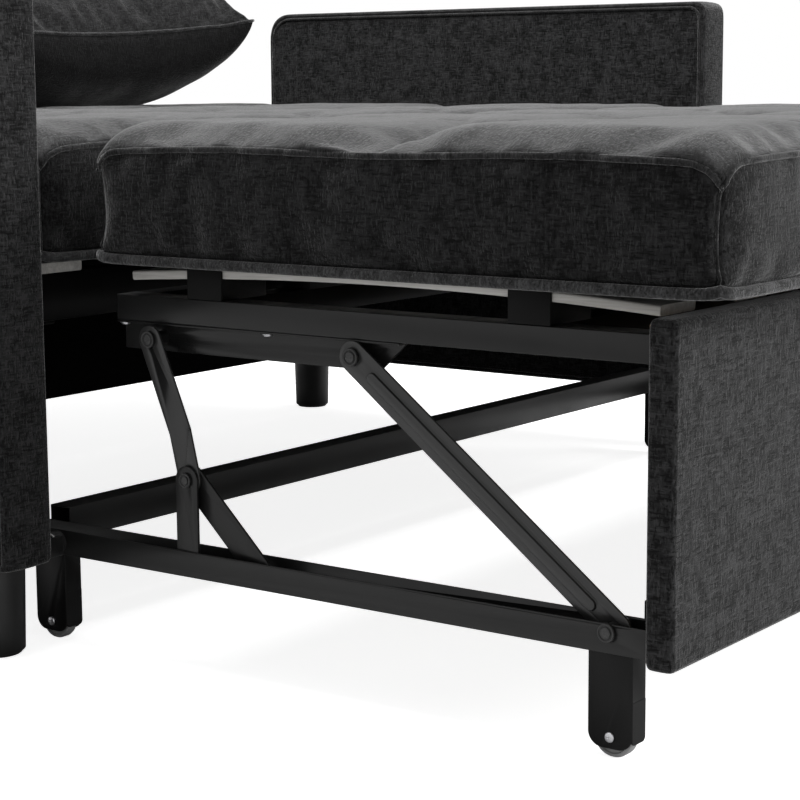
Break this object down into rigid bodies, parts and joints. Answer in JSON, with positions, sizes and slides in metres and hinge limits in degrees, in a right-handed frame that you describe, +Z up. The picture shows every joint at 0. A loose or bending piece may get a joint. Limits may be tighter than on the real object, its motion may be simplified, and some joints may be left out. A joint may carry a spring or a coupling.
{
  "type": "pull-out sofa bed",
  "caption": "Two-seat sofa bed with a roll-out frame under the seat, a sprung platform raised on a lifting linkage, tufted cushions, a reclining back and a throw pillow.",
  "frame": {"origin": "on the floor, under the middle of the bed as it stands pulled out and flat", "axes": "+X to the right side seen from the front, +Y from the front towards the back, +Z up"},
  "size_m": [1.32, 1.8, 0.695],
  "materials": {
    "upholstery": "mottled charcoal chenille weave",
    "plywood": "raw plywood",
    "black_legs": "satin black moulded",
    "black_steel": "satin black powder coat",
    "zinc": "zinc plated",
    "birch": "pale laminated veneer",
    "wheel_nylon": "grey moulded nylon",
    "black_rubber": "matt black rubber",
    "black_plastic": "black moulded plastic"
  },
  "bodies": {
    "sofa_base": {"left_arm_frame": "plywood", "right_arm_frame": "plywood", "left_arm_cover": "upholstery", "right_arm_cover": "upholstery", "leg_front_left": "black_legs", "leg_front_right": "black_legs", "leg_rear_left": "black_legs", "leg_rear_right": "black_legs", "rear_board": "plywood", "rear_board_cover": "upholstery", "seat_front_tube": "black_steel", "seat_rear_tube": "black_steel", "seat_side_angles": "black_steel", "seat_slats": "birch", "seat_cushion": "upholstery", "frame_bolts": "black_steel", "pull_out_stops": "black_steel", "recliner_fixed_plates": "black_steel", "recliner_pins": "zinc"},
    "backrest": {"recliner_moving_plates": "black_steel", "back_side_tubes": "black_steel", "back_cross_tubes": "black_steel", "back_shell": "upholstery", "back_cushion": "upholstery", "throw_pillow": "upholstery"},
    "carriage": {"lower_rail_left": "black_steel", "lower_rail_right": "black_steel", "lower_cross_tubes": "black_steel", "front_panel_board": "plywood", "front_panel_cover": "upholstery", "panel_brackets": "black_steel", "castor_fork_front_left": "black_steel", "castor_fork_front_right": "black_steel", "castor_fork_rear_left": "black_steel", "castor_fork_rear_right": "black_steel", "castor_axle_bolts": "zinc", "stop_buffers": "black_rubber", "rear_posts": "black_steel", "rear_braces": "black_steel", "post_rivets": "black_steel", "lower_link_pins": "black_steel"},
    "front_links": {"front_link_left": "black_steel", "front_link_right": "black_steel"},
    "platform": {"upper_rail_left": "black_steel", "upper_rail_right": "black_steel", "platform_cross_tubes": "black_steel", "link_plates": "black_steel", "link_plate_screws": "zinc", "upper_link_pins": "black_steel", "platform_slats": "birch", "slat_holders": "black_plastic", "mattress": "upholstery"},
    "rear_arms": {"rear_arms": "black_steel"},
    "wheel_front_left": {"wheel_front_left": "wheel_nylon"},
    "wheel_front_right": {"wheel_front_right": "wheel_nylon"},
    "wheel_rear_left": {"wheel_rear_left": "wheel_nylon"},
    "wheel_rear_right": {"wheel_rear_right": "wheel_nylon"}
  },
  "joints": [
    {"name": "pull_out", "type": "slide", "parent": "sofa_base", "child": "carriage", "axis": [0, 1, 0], "range_m": [0, 0.06]},
    {"name": "platform_fold", "type": "hinge", "parent": "carriage", "child": "front_links", "pos_m": [0, -0.8, 0.0985], "axis": [-1, 0, 0], "range_deg": [0, 37.33], "deforming": ["mattress"]},
    {"name": "platform_level", "type": "hinge", "parent": "front_links", "child": "platform", "pos_m": [0, -0.55668, 0.28406], "axis": [-1, 0, 0], "range_deg": [-37.34, 0]},
    {"name": "rear_arm_swing", "type": "hinge", "parent": "platform", "child": "rear_arms", "pos_m": [0, -0.34288, 0.28406], "axis": [-1, 0, 0], "range_deg": [0, 103.44]},
    {"name": "backrest_recline", "type": "hinge", "parent": "sofa_base", "child": "backrest", "pos_m": [0, 0.417, 0.44786], "axis": [1, 0, 0], "range_deg": [0, 80]},
    {"name": "wheel_front_left_spin", "type": "hinge", "parent": "carriage", "child": "wheel_front_left", "pos_m": [-0.5625, -0.8, 0.017], "axis": [1, 0, 0], "continuous": true},
    {"name": "wheel_front_right_spin", "type": "hinge", "parent": "carriage", "child": "wheel_front_right", "pos_m": [0.5625, -0.8, 0.017], "axis": [1, 0, 0], "continuous": true},
    {"name": "wheel_rear_left_spin", "type": "hinge", "parent": "carriage", "child": "wheel_rear_left", "pos_m": [-0.5625, -0.214, 0.017], "axis": [1, 0, 0], "continuous": true},
    {"name": "wheel_rear_right_spin", "type": "hinge", "parent": "carriage", "child": "wheel_rear_right", "pos_m": [0.5625, -0.214, 0.017], "axis": [1, 0, 0], "continuous": true}
  ],
  "couplings": [
    {"joint": "platform_level", "follows": "platform_fold", "ratio": -1},
    {"joint": "rear_arm_swing", "follows": "platform_fold", "ratio": 2.7705}
  ]
}
